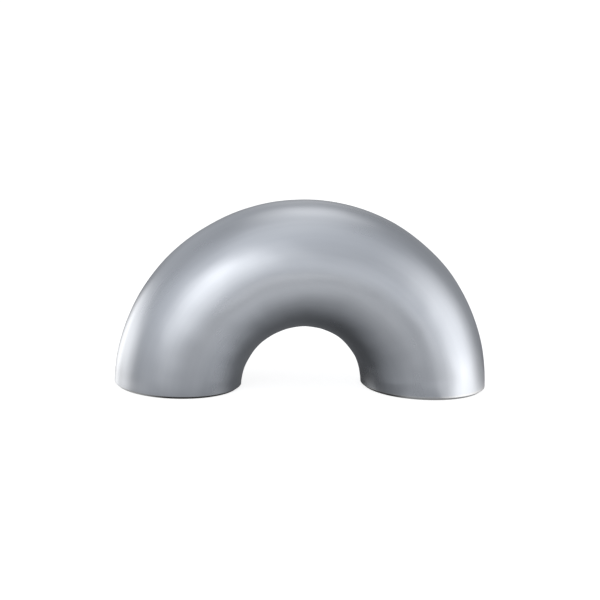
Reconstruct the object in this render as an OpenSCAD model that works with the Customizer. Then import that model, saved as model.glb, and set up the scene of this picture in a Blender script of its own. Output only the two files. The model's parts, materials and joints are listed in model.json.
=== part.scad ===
// Return bend for butt welding: one seamless stainless tube, bent through a half turn.
// It stands on its two end faces. X runs through both legs, Y across the tube and Z up to the crown,
// and the origin lies midway between the legs, in the plane of the end faces.

/* [Tube] */
// Outside diameter of the tube
outside_d = 89; // [60:0.5:120]
// Wall thickness of the tube
wall = 4; // [2.6:0.1:8]

/* [Bend] */
// Radius of the bend, measured to the middle of the tube
bend_r = 87.5; // [65:0.5:180]

/* [Weld ends] */
// Slope of the weld bevel, measured from the end face
bevel_angle = 37.5; // [20:0.5:50]
// Width of the flat land between the bevel and the bore
land_w = 1.6; // [0.8:0.1:2]
// Depth to which each end is bored
bore_depth = 3; // [1:0.5:6]
// Metal that boring takes off the inside of each end, to make it round and straight
bore_skim = 0.2; // [0.1:0.05:0.5]

/* [Hidden] */
$fn = 128;

// A return bend turns the flow right back
bend_angle = 180;
outside_r = outside_d / 2;
inside_r = outside_r - wall;
bore_r = inside_r + bore_skim;
land_r = bore_r + land_w;
// How far the tools that turn the ends run past the metal
overrun = 1;
satin_steel = [0.66, 0.67, 0.69];

// Section of the tube, which the bend carries round
module tube_section() {
    difference() {
        circle(outside_r);
        circle(inside_r);
    }
}

// Half ring of tube, standing with its crown up
module bent_tube() {
    rotate([90, 0, 0])
        rotate_extrude(angle = bend_angle)
            translate([bend_r, 0]) tube_section();
}

// Ring of metal outside the weld bevel, which rises from the edge of the land
module bevel_cut() {
    reach = outside_r + overrun - land_r;
    rise = reach * tan(bevel_angle);
    rotate_extrude()
        translate([land_r, 0])
            polygon([[0, -overrun], [reach, -overrun], [reach, rise], [0, 0]]);
}

// True bore at the mouth of a leg
module bore_cut() {
    translate([0, 0, -overrun])
        cylinder(h = overrun + bore_depth, r = bore_r);
}

module return_bend() {
    color(satin_steel)
        difference() {
            bent_tube();
            for (side = [-1, 1])
                translate([side * bend_r, 0, 0]) {
                    bevel_cut();
                    bore_cut();
                }
        }
}

return_bend();
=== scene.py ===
import json
import math

import bmesh
import bpy
import numpy as np
from mathutils import Matrix, Vector, noise


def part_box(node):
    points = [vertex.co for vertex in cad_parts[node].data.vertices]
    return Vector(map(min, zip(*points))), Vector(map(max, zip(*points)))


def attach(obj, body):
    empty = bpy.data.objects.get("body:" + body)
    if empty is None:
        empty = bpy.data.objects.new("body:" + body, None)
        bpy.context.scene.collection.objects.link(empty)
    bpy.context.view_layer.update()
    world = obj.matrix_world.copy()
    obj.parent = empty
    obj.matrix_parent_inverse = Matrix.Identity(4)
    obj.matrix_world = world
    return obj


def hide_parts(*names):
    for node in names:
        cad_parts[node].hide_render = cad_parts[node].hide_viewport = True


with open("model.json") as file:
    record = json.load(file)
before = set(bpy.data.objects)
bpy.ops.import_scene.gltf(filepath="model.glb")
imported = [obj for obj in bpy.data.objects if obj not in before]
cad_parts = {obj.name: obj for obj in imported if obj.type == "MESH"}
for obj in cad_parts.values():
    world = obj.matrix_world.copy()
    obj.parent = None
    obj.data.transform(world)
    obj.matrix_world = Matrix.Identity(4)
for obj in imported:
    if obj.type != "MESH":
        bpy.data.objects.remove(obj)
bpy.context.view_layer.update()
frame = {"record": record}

# The return bend is one seamless stainless tube, pushed hot over a mandrel through a half turn, so one
# skin runs from face to face. Both ends are faced, bevelled for the weld and bored true for a few
# millimetres. The outside is polished to a soft satin, and the passage keeps its dull pickled skin.

# Sizes, in metres: the two bores give where the legs stand, and the frame's box gives the tube
bores = [mount for mount in frame["record"]["mounts"] if mount["kind"] == "bore"]
bend_radius = abs(bores[0]["pos_m"][0])
bore_radius = bores[0]["dims"]["r_mm"] / 1000
bore_depth = bores[0]["dims"]["length_mm"] / 1000
bend_low, bend_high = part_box("return_bend")
tube_radius = round(bend_high.x - bend_radius, 4)
wall = 0.004
passage_radius = tube_radius - wall
land_width = 0.0016
land_radius = bore_radius + land_width
bevel_slope = math.radians(37.5)
bevel_height = (tube_radius - land_radius) * math.tan(bevel_slope)

# Corners of the turned ends are broken by so much, or by that share of a narrow face, in a few steps
edge_break = 0.00015
edge_break_share = 0.2
edge_steps = (0, 0.25, 0.5, 0.75, 1)

# How finely the skin is divided
points_around = 180
rings_outside = 220
rings_inside = 96
around = np.linspace(0, 2 * math.pi, points_around, endpoint=False)

# Slow waves that the mandrel and the polishing wheel leave in the skin, each with its height and
# length, and the stretch by each end where they fade out
waves = ((0.00034, 0.024), (0.00010, 0.013))
wave_fade = 0.012


def bent_ring(radius, share, end_height):
    """Ring round the bent tube: a share of the way from right to left, between ends at that height."""
    reach = bend_radius + radius * np.cos(around)
    start = np.arcsin(end_height / reach)
    turn = start + share * (math.pi - 2 * start)
    return np.stack([reach * np.cos(turn), radius * np.sin(around), reach * np.sin(turn)], axis=1)


def turned_ring(side, radius, height):
    """Ring on a turned end, about the axis of the leg on that side."""
    return np.stack([
        side * (bend_radius + radius * np.cos(around)),
        radius * np.sin(around),
        np.full(points_around, height),
    ], axis=1)


def along_tube(points):
    """Places in the tube's own space: two ways across its section, and along its middle line."""
    reach = np.hypot(points[:, 0], points[:, 2])
    along = bend_radius * np.arctan2(points[:, 2], points[:, 0])
    return np.stack([reach - bend_radius, points[:, 1], along], axis=1)


def wavy_ring(radius, share, end_height):
    """Ring of the bent tube with the slow waves of the formed skin."""
    smooth = along_tube(bent_ring(radius, share, end_height))
    from_end = min(share, 1 - share) * math.pi * bend_radius
    fade = min(1.0, from_end / wave_fade) ** 2
    lift = np.zeros(points_around)
    for height, length in waves:
        lift += height * np.array([noise.noise(Vector(place) / length) for place in smooth])
    return bent_ring(radius + fade * lift, share, end_height)


def broken_edges(corners):
    """Rings along a row of corners, each corner rounded a little between its neighbours."""
    rings = []
    for before, corner, after in zip(corners, corners[1:], corners[2:]):
        back, on = before - corner, after - corner
        back_length = np.linalg.norm(back, axis=1, keepdims=True)
        on_length = np.linalg.norm(on, axis=1, keepdims=True)
        size = np.minimum(edge_break, edge_break_share * np.minimum(back_length, on_length))
        back, on = back / back_length * size, on / on_length * size
        rings.append(corner + 2 * back)
        for step in edge_steps:
            rings.append(corner + (1 - step) ** 2 * back + step ** 2 * on)
        rings.append(corner + 2 * on)
    return rings


def turned_end(side, wall_ring, passage_ring):
    """Rings of a weld end: from the outside round the bevel, land and bore into the passage."""
    share = 0 if side > 0 else 1
    return broken_edges([
        wall_ring,
        bent_ring(tube_radius, share, bevel_height),
        turned_ring(side, land_radius, 0),
        turned_ring(side, bore_radius, 0),
        turned_ring(side, bore_radius, bore_depth),
        bent_ring(passage_radius, share, bore_depth),
        passage_ring,
    ])


outside = [
    wavy_ring(tube_radius, step / rings_outside, bevel_height)
    for step in range(1, rings_outside)
]
passage = [
    wavy_ring(passage_radius, step / rings_inside, bore_depth)
    for step in range(1, rings_inside)
]
left_end = turned_end(-1, outside[-1], passage[-1])
right_end = turned_end(1, outside[0], passage[0])
skin = outside + left_end + passage[::-1] + right_end[::-1]
satin, turned, pickled = range(3)
finish_of_ring = (
    [satin] * len(outside) + [turned] * len(left_end)
    + [pickled] * len(passage) + [turned] * len(right_end)
)

ring_count = len(skin)
skin_points = np.concatenate(skin)
skin_faces = []
for ring in range(ring_count):
    following = (ring + 1) % ring_count
    for point in range(points_around):
        beside = (point + 1) % points_around
        skin_faces.append((
            ring * points_around + point,
            ring * points_around + beside,
            following * points_around + beside,
            following * points_around + point,
        ))
bend_mesh = bpy.data.meshes.new("return_bend_steel")
bend_mesh.from_pydata(skin_points.tolist(), [], skin_faces)
bend_mesh.polygons.foreach_set("use_smooth", [True] * len(skin_faces))
bend_mesh.polygons.foreach_set("material_index", np.repeat(finish_of_ring, points_around))

# The tube's own space is kept on the mesh, so the metal's grain runs along the bend without a seam
tube_space = bend_mesh.attributes.new("tube_space", "FLOAT_VECTOR", "POINT")
tube_space.data.foreach_set("vector", along_tube(skin_points).astype(np.float32).ravel())

# The skin unrolled: round the tube one way, and the other way along the outside and back inside
steps = []
for ring in range(ring_count):
    to_next = skin[(ring + 1) % ring_count] - skin[ring]
    steps.append(np.linalg.norm(to_next, axis=1).mean())
unrolled = np.concatenate([[0], np.cumsum(steps)]) / sum(steps)
skin_map = bend_mesh.uv_layers.new(name="OFBake")
map_corners = []
for ring in range(ring_count):
    for point in range(points_around):
        left, right = point / points_around, (point + 1) / points_around
        map_corners += [left, unrolled[ring], right, unrolled[ring]]
        map_corners += [right, unrolled[ring + 1], left, unrolled[ring + 1]]
skin_map.data.foreach_set("uv", map_corners)
bend_mesh.update()

# Most of a pattern's values lie between these two
pattern_low = 0.3
pattern_high = 0.7


def add_node(tree, kind, inputs=None, **settings):
    """Node of that kind, with its inputs set to values or joined to other nodes' outputs."""
    node = tree.nodes.new(kind)
    for name, value in settings.items():
        setattr(node, name, value)
    for name, value in (inputs or {}).items():
        if isinstance(value, bpy.types.NodeSocket):
            tree.links.new(value, node.inputs[name])
        else:
            node.inputs[name].default_value = value
    return node


def bare_steel(name):
    """Bare metal with no finish yet: its material, nodes, shader and places in the tube's own space."""
    material = bpy.data.materials.new(name)
    material.use_nodes = True
    tree = material.node_tree
    shader = tree.nodes["Principled BSDF"]
    shader.inputs["Metallic"].default_value = 1.0
    place = add_node(tree, "ShaderNodeAttribute", attribute_name="tube_space").outputs["Vector"]
    return material, tree, shader, place


def marks(tree, place, across, along, detail=2.0):
    """Pattern with so many marks to the metre across the tube and along it, from 0 to 1."""
    spread = add_node(tree, "ShaderNodeMapping", {"Vector": place, "Scale": (across, across, along)})
    pattern = add_node(tree, "ShaderNodeTexNoise", {
        "Vector": spread.outputs[0], "Scale": 1.0, "Detail": detail,
    })
    return pattern.outputs["Fac"]


def between(tree, pattern, low, high):
    """The middle of a pattern spread over a range of values."""
    spread = add_node(tree, "ShaderNodeMapRange", {
        "Value": pattern, "From Min": pattern_low, "From Max": pattern_high,
        "To Min": low, "To Max": high,
    })
    return spread.outputs["Result"]


def tint(tree, pattern, dark, light):
    """Colour of the metal, from dark to light with a pattern."""
    ramp = add_node(tree, "ShaderNodeValToRGB", {"Fac": pattern})
    ramp.color_ramp.elements[0].position = pattern_low
    ramp.color_ramp.elements[0].color = (*dark, 1)
    ramp.color_ramp.elements[1].position = pattern_high
    ramp.color_ramp.elements[1].color = (*light, 1)
    return ramp.outputs["Color"]


def relief(tree, layers):
    """Normal of the metal under layers of marks, each with its height in metres."""
    normal = None
    for pattern, height in layers:
        inputs = {"Height": pattern, "Distance": height, "Strength": 1.0}
        if normal is not None:
            inputs["Normal"] = normal
        normal = add_node(tree, "ShaderNodeBump", inputs).outputs["Normal"]
    return normal


def dress(tree, shader, colour, roughness, normal):
    """Gives the metal its finish."""
    tree.links.new(colour, shader.inputs["Base Color"])
    tree.links.new(roughness, shader.inputs["Roughness"])
    tree.links.new(normal, shader.inputs["Normal"])


def satin_outside():
    """Satin polish: long soft streaks of the wheel over clouds where it bore down more or less."""
    material, tree, shader, place = bare_steel("satin_outside")
    clouds = marks(tree, place, across=34, along=13, detail=3)
    streaks = marks(tree, place, across=260, along=14, detail=1)
    grain = marks(tree, place, across=2600, along=190)
    streak_share = 0.35
    worn = add_node(
        tree, "ShaderNodeMix", {"Factor": streak_share, "A": clouds, "B": streaks}, data_type="FLOAT"
    ).outputs["Result"]
    dress(
        tree, shader,
        colour=tint(tree, worn, dark=(0.565, 0.591, 0.638), light=(0.615, 0.641, 0.687)),
        roughness=between(tree, clouds, low=0.26, high=0.33),
        normal=relief(tree, [(streaks, 0.000004), (grain, 0.0000004)]),
    )
    return material


def turned_edges():
    """Freshly turned ends: bright, with the fine rings that the tool leaves, so many to the metre."""
    material, tree, shader, place = bare_steel("turned_edges")
    rings_to_metre = 5200.0
    parts = add_node(tree, "ShaderNodeSeparateXYZ", {"Vector": place}).outputs
    section = add_node(tree, "ShaderNodeCombineXYZ", {"X": parts["X"], "Y": parts["Y"]})
    radius = add_node(tree, "ShaderNodeVectorMath", {0: section.outputs[0]}, operation="LENGTH")
    feed = add_node(
        tree, "ShaderNodeMath", {0: radius.outputs["Value"], 1: parts["Z"]}, operation="ADD"
    )
    tool_lines = add_node(
        tree, "ShaderNodeTexNoise", {"W": feed.outputs[0], "Scale": rings_to_metre, "Detail": 2.0},
        noise_dimensions="1D",
    ).outputs["Fac"]
    dress(
        tree, shader,
        colour=tint(tree, tool_lines, dark=(0.600, 0.615, 0.640), light=(0.690, 0.700, 0.715)),
        roughness=between(tree, tool_lines, low=0.24, high=0.34),
        normal=relief(tree, [(tool_lines, 0.000004)]),
    )
    return material


def pickled_passage():
    """Skin of the passage: matt from the acid, with faint lines where the mandrel drew along it."""
    material, tree, shader, place = bare_steel("pickled_passage")
    clouds = marks(tree, place, across=60, along=24, detail=4)
    drawn = marks(tree, place, across=700, along=12, detail=3)
    pits = marks(tree, place, across=3200, along=3200)
    dress(
        tree, shader,
        colour=tint(tree, clouds, dark=(0.430, 0.435, 0.440), light=(0.530, 0.530, 0.530)),
        roughness=between(tree, clouds, low=0.46, high=0.60),
        normal=relief(tree, [(drawn, 0.000008), (pits, 0.000004)]),
    )
    return material


for finish in (satin_outside(), turned_edges(), pickled_passage()):
    bend_mesh.materials.append(finish)
bend = bpy.data.objects.new("return_bend_steel", bend_mesh)
bpy.context.scene.collection.objects.link(bend)
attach(bend, "root")
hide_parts("return_bend")

# The floor is a wide pale sheet that the bend stands on. It glows a little, so that it stays white to
# the far edge and the shadow under the bend is faint. The metal doesn't mirror it, and sees a dim
# studio table in its place.
floor_radius = 9.0
floor_sides = 96
floor_drop = 0.00005
floor_colour = (0.5, 0.5, 0.5, 1)
floor_roughness = 0.9
floor_glow = 0.8

floor_mesh = bpy.data.meshes.new("floor")
floor_form = bmesh.new()
bmesh.ops.create_circle(floor_form, cap_ends=True, segments=floor_sides, radius=floor_radius)
floor_form.to_mesh(floor_mesh)
floor_form.free()
pale = bpy.data.materials.new("pale_floor")
pale.use_nodes = True
pale_shader = pale.node_tree.nodes["Principled BSDF"]
pale_shader.inputs["Base Color"].default_value = floor_colour
pale_shader.inputs["Roughness"].default_value = floor_roughness
pale_shader.inputs["Specular IOR Level"].default_value = 0.0
pale_shader.inputs["Emission Color"].default_value = (1, 1, 1, 1)
pale_shader.inputs["Emission Strength"].default_value = floor_glow
floor_mesh.materials.append(pale)
floor = bpy.data.objects.new("floor", floor_mesh)
floor.location.z = bend_low.z - floor_drop
floor.visible_glossy = False
floor.visible_shadow = False
bpy.context.scene.collection.objects.link(floor)

# The studio round the bend is pale overhead and in front, dim at the back and dark below the table
# behind it. Each of its four sides has tones by height, and they run into each other. The camera
# sees plain white past the floor.
studio = bpy.data.worlds.new("studio")
studio.use_nodes = True
bpy.context.scene.world = studio
studio_tree = studio.node_tree
studio_tree.nodes.clear()

# Heights are from straight down at 0 to straight up at 1. The light from the walls is cool, and one
# side runs into the next within so much of the middle.
daylight = (0.98, 1.00, 1.03)
tone_heights = (0.0, 0.25, 0.4, 0.5, 0.7, 1.0)
front_left = (0.25, 0.30, 0.35, 0.60, 0.80, 0.80)
front_right = (0.20, 0.50, 0.25, 0.80, 0.55, 0.75)
back_left = (0.05, 0.10, 0.05, 0.30, 0.55, 0.40)
back_right = (0.10, 0.15, 0.15, 0.35, 0.35, 0.45)
side_blend = 0.5

# The sockets of a Mix node that are for colours, because its names stand for several sockets each
first_colour = 6
second_colour = 7
mixed_colour = 2


def tones(tree, height, brightnesses):
    """Tones of one side of the studio by height."""
    ramp = add_node(tree, "ShaderNodeValToRGB", {"Fac": height})
    elements = ramp.color_ramp.elements
    while len(elements) < len(tone_heights):
        elements.new(0.5)
    for element, position, brightness in zip(elements, tone_heights, brightnesses):
        element.position = position
        element.color = (*(brightness * part for part in daylight), 1)
    return ramp.outputs["Color"]


def to_side(tree, value):
    """How far a direction lies to one side, from 0 to 1, with a soft change halfway."""
    soft = add_node(
        tree, "ShaderNodeMapRange", {"Value": value, "From Min": -side_blend, "From Max": side_blend},
        interpolation_type="SMOOTHSTEP",
    )
    return soft.outputs["Result"]


def mix(tree, factor, first, second):
    """Two colours mixed."""
    both = add_node(
        tree, "ShaderNodeMix", {"Factor": factor, first_colour: first, second_colour: second},
        data_type="RGBA",
    )
    return both.outputs[mixed_colour]


toward = add_node(studio_tree, "ShaderNodeSeparateXYZ", {
    "Vector": add_node(studio_tree, "ShaderNodeTexCoord").outputs["Generated"],
}).outputs
up = add_node(studio_tree, "ShaderNodeMapRange", {
    "Value": toward["Z"], "From Min": -1.0, "From Max": 1.0,
}).outputs["Result"]
to_right = to_side(studio_tree, toward["X"])
to_back = to_side(studio_tree, toward["Y"])
in_front, behind = (
    mix(studio_tree, to_right, tones(studio_tree, up, on_left), tones(studio_tree, up, on_right))
    for on_left, on_right in ((front_left, front_right), (back_left, back_right))
)
surroundings = mix(studio_tree, to_back, in_front, behind)
camera_ray = add_node(studio_tree, "ShaderNodeLightPath").outputs["Is Camera Ray"]
seen = mix(studio_tree, camera_ray, surroundings, (1, 1, 1, 1))
backdrop = add_node(studio_tree, "ShaderNodeBackground", {"Color": seen, "Strength": 1.0})
add_node(studio_tree, "ShaderNodeOutputWorld", {"Surface": backdrop.outputs["Background"]})

# Softboxes stand round the bend: a large key with a brighter middle at the left front, faint fills in
# front, one close by on the right, one at the left back, one low behind and two overhead. A strip
# stands close behind the left leg, and white reflectors on the table light the bend from below.
bend_middle = (bend_low + bend_high) / 2
lamp_colour = (1.00, 0.98, 0.95)
studio_away = 3.0

# A square metre of cloth as bright as white takes so many watts. The cloth is bright in the middle and
# dims to nothing toward its edges, and its own places run from 0 to 1 both ways.
white_watts = 4
cloth_middle = (0.5, 0.5, 0)
cloth_edge = 0.5


def lamp(name, place, facing, width, deep, brightness):
    """Flat soft lamp that the camera doesn't see. Its middle is as bright as that share of white."""
    light = bpy.data.lights.new(name, "AREA")
    light.shape = "RECTANGLE"
    light.size = width
    light.size_y = deep
    light.energy = white_watts * width * deep * brightness
    light.color = lamp_colour
    light.use_nodes = True
    tree = light.node_tree
    across = add_node(tree, "ShaderNodeNewGeometry").outputs["Parametric"]
    from_middle = add_node(
        tree, "ShaderNodeVectorMath", {0: across, 1: cloth_middle}, operation="DISTANCE"
    ).outputs["Value"]
    cloth = add_node(tree, "ShaderNodeMapRange", {
        "Value": from_middle, "From Min": 0.0, "From Max": cloth_edge, "To Min": 1.0, "To Max": 0.0,
    }, interpolation_type="SMOOTHSTEP")
    tree.links.new(cloth.outputs["Result"], tree.nodes["Emission"].inputs["Strength"])
    holder = bpy.data.objects.new(name, light)
    holder.location = place
    holder.rotation_mode = "QUATERNION"
    holder.rotation_quaternion = (-facing).to_track_quat("Z", "Y")
    holder.visible_camera = False
    bpy.context.scene.collection.objects.link(holder)


def outward(round_deg, above_deg):
    """Direction out from the bend, so many degrees round it from the front and above the table."""
    turn, rise = math.radians(round_deg), math.radians(above_deg)
    return Vector((math.sin(turn) * math.cos(rise), -math.cos(turn) * math.cos(rise), math.sin(rise)))


def softbox(name, round_deg, above_deg, width, tall, brightness, away=studio_away):
    """Softbox that faces the bend from that direction."""
    out = outward(round_deg, above_deg)
    lamp(name, bend_middle + out * away, -out, width, tall, brightness)


def reflector(name, right, back, width, deep, brightness):
    """White reflector flat on the table, its middle so far to the right of the bend's and behind it."""
    lamp(name, Vector((right, back, bend_low.z)), Vector((0, 0, 1)), width, deep, brightness)


softbox("key_left_front", round_deg=-28, above_deg=18, width=4.6, tall=4.0, brightness=0.60)
softbox("key_middle", round_deg=-34, above_deg=34, width=2.8, tall=2.4, brightness=0.60)
softbox("fill_front", round_deg=-10, above_deg=2, width=1.5, tall=1.0, brightness=0.25)
softbox("fill_right", round_deg=26, above_deg=-6, width=1.3, tall=1.0, brightness=0.35)
softbox("side_right", round_deg=74, above_deg=8, width=1.3, tall=1.1, brightness=0.62, away=0.7)
softbox("side_left_back", round_deg=-120, above_deg=-2, width=4.2, tall=3.2, brightness=1.00)
softbox("low_back", round_deg=172, above_deg=24, width=2.2, tall=1.8, brightness=0.20)
softbox("bank_back", round_deg=165, above_deg=63, width=3.6, tall=3.2, brightness=0.55)
softbox("bank_overhead", round_deg=0, above_deg=88, width=3.6, tall=3.2, brightness=0.20)
lamp(
    "strip_left", place=Vector((-0.170, 0.066, 0.012)), facing=Vector((0.5, -0.866, 0)),
    width=0.080, deep=0.22, brightness=1.2,
)
reflector("table_front", right=0.02, back=-0.18, width=0.36, deep=0.32, brightness=0.22)
reflector("table_front_far", right=0.0, back=-0.44, width=0.36, deep=0.34, brightness=0.95)
reflector("table_front_left", right=-0.18, back=-0.44, width=0.36, deep=0.34, brightness=0.35)
reflector("table_front_right", right=0.20, back=-0.42, width=0.36, deep=0.34, brightness=0.35)
reflector("table_left", right=-0.15, back=-0.02, width=0.10, deep=0.12, brightness=0.25)

# A white sheet lies on the table round the right foot, seen only in the metal, and glows with painted
# light: a fan of it is painted brighter, as if a beam from beside the bend crossed it, and this painted
# glow makes the long bright streak down
# the right leg. It only adds light: what is behind the sheet still shows through.
sheet_gap = 0.0025
sheet_reach = 0.70
sheet_round_deg = (10, 120)
sheet_rings = 30
sheet_turns = 49
# The painted beam: where its tip stands, which way it points, and how bright the sheet is painted in it
# and outside it
beam_tip = (0.0785, -0.024)
beam_round_deg = 73
beam_core_deg = 6
beam_edge_deg = 46
beam_bright = 1.05
sheet_bright = 0.20


def soft_step(value, low, high):
    """From 0 at low to 1 at high, with soft ends."""
    part = np.clip((value - low) / (high - low), 0, 1)
    return part * part * (3 - 2 * part)


def on_table(name, side, reaches, turns, drop=0):
    """Flat fan on the table, its points so far from the axis of that side's leg and so far round it."""
    x = side * bend_radius + np.outer(reaches, np.sin(turns)).ravel()
    y = -np.outer(reaches, np.cos(turns)).ravel()
    z = np.full(len(x), bend_low.z - drop)
    faces = []
    for row in range(len(reaches) - 1):
        for column in range(len(turns) - 1):
            near, far = row * len(turns) + column, (row + 1) * len(turns) + column
            faces.append((near, far, far + 1, near + 1))
    mesh = bpy.data.meshes.new(name)
    mesh.from_pydata(np.stack([x, y, z], axis=1).tolist(), [], faces)
    return mesh, x, y


def keep(mesh, name, values):
    """Keeps a value for each point on the mesh, for its material."""
    layer = mesh.attributes.new(name, "FLOAT", "POINT")
    layer.data.foreach_set("value", values.astype(np.float32).ravel())


def kept(tree, name):
    """The value of that name that the mesh keeps."""
    return add_node(tree, "ShaderNodeAttribute", attribute_name=name).outputs["Fac"]


def glowing(name, colour, brightness):
    """Glow as bright as a kept value: its material, nodes and shader, and clear air to go with it."""
    material = bpy.data.materials.new(name)
    material.use_nodes = True
    tree = material.node_tree
    tree.nodes.clear()
    glow = add_node(tree, "ShaderNodeEmission", {
        "Color": (*colour, 1), "Strength": kept(tree, brightness),
    })
    clear = add_node(tree, "ShaderNodeBsdfTransparent")
    return material, tree, glow.outputs[0], clear.outputs[0]


def mirrored_only(mesh, material):
    """Object on the table that shows in the metal and nowhere else."""
    mesh.materials.append(material)
    thing = bpy.data.objects.new(mesh.name, mesh)
    thing.visible_camera = False
    thing.visible_diffuse = False
    thing.visible_shadow = False
    bpy.context.scene.collection.objects.link(thing)


def lit_sheet():
    """Painted glow of the sheet, a pool of light from no lamp, added to what is behind it."""
    material, tree, glow, clear = glowing("lit_sheet", lamp_colour, "beam")
    both = add_node(tree, "ShaderNodeAddShader", {0: glow, 1: clear})
    add_node(tree, "ShaderNodeOutputMaterial", {"Surface": both.outputs[0]})
    return material


sheet_mesh, sheet_x, sheet_y = on_table(
    "painted_light_sheet", 1,
    np.geomspace(tube_radius + sheet_gap, sheet_reach, sheet_rings),
    np.radians(np.linspace(*sheet_round_deg, sheet_turns)),
)
# The fan of the painted beam, painted brightest along its middle and dimmer off to its sides
from_tip_deg = np.degrees(np.arctan2(sheet_x - beam_tip[0], beam_tip[1] - sheet_y))
dim = soft_step(np.abs(from_tip_deg - beam_round_deg), beam_core_deg, beam_edge_deg)
keep(sheet_mesh, "beam", beam_bright + (sheet_bright - beam_bright) * dim)
mirrored_only(sheet_mesh, lit_sheet())

# A painted shadow of the bend lies on the table round its feet, on the sides that face each other: dark
# sheets that only the metal mirrors. The weld bevels mirror the table right under them, painted dark in
# the shadow and painted pale as if lit elsewhere, and the lowest part of the legs mirrors a little of
# it.
shadow_reach = 0.035
shadow_drop = 0.00003
# Glow of the painted shadow, and of the painted lit table under the bevels away from it
shadow_tone = 0.03
pale_tone = 0.30
shadow_rings = 12
shadow_turns = np.radians(np.linspace(-180, 180, 73))

# The strip under a bevel starts a little inside its land and ends a little outside the tube
strip_inside = 0.001
strip_outside = 0.002
strip_gap = 0.0005
under_bevel = (land_radius - strip_inside, tube_radius + strip_outside)
shadow_reaches = np.concatenate([
    under_bevel,
    np.linspace(under_bevel[1] + strip_gap, tube_radius + shadow_reach, shadow_rings),
])


def shaded_table():
    """Painted table, glowing as bright as its tone, which hides what is behind it as far as the painted
    shadow covers it.
    """
    material, tree, table, clear = glowing("foot_shadow", (1, 1, 1), "tone")
    veil = add_node(tree, "ShaderNodeMixShader", {0: kept(tree, "cover"), 1: clear, 2: table})
    add_node(tree, "ShaderNodeOutputMaterial", {"Surface": veil.outputs[0]})
    return material


def foot_shadow(name, material, side, middle_deg, core_deg, edge_deg, depth):
    """Painted shadow round the foot on that side: full about its middle, and gone past its edge."""
    off_middle = np.abs((np.degrees(shadow_turns) - middle_deg + 180) % 360 - 180)
    dark = 1 - soft_step(off_middle, core_deg, edge_deg)
    fade = 1 - soft_step(shadow_reaches, tube_radius, tube_radius + shadow_reach)
    # How far the painted shadow hides what is behind it; under the bevel it hides all, painted dark or
    # painted pale
    cover = np.outer(depth * fade, dark)
    cover[:len(under_bevel)] = 1
    tone = np.full(cover.shape, shadow_tone)
    tone[:len(under_bevel)] = pale_tone + (shadow_tone - pale_tone) * dark
    mesh, _, _ = on_table(name, side, shadow_reaches, shadow_turns, shadow_drop)
    keep(mesh, "cover", cover)
    keep(mesh, "tone", tone)
    mirrored_only(mesh, material)


dim_table = shaded_table()
foot_shadow("left_shadow", dim_table, -1, middle_deg=70, core_deg=80, edge_deg=110, depth=0.25)
foot_shadow("right_shadow", dim_table, 1, middle_deg=-110, core_deg=70, edge_deg=88, depth=0.55)

# The camera stands in front of the bend, a little to the left and above it, with a long lens. It leans
# slightly, and all of it is in focus.
camera_round_deg = -7.3
camera_above_deg = 11.8
camera_lean_deg = 2.2
camera_away = 1.2665
camera_aim = Vector((-0.0031, 0, 0.0610))
camera_lens = 108

camera_turn = math.radians(camera_round_deg)
camera_lean = math.radians(camera_lean_deg)
camera_back = outward(camera_round_deg, camera_above_deg)
level = Vector((math.cos(camera_turn), math.sin(camera_turn), 0))
upright = camera_back.cross(level)
camera_right = math.cos(camera_lean) * level + math.sin(camera_lean) * upright
camera_up = math.cos(camera_lean) * upright - math.sin(camera_lean) * level
camera_data = bpy.data.cameras.new("camera")
camera_data.lens = camera_lens
camera = bpy.data.objects.new("camera", camera_data)
camera_place = Matrix.Translation(camera_aim + camera_back * camera_away)
camera.matrix_world = camera_place @ Matrix((camera_right, camera_up, camera_back)).transposed().to_4x4()
bpy.context.scene.collection.objects.link(camera)
bpy.context.scene.camera = camera
bpy.context.scene.view_settings.view_transform = "Standard"
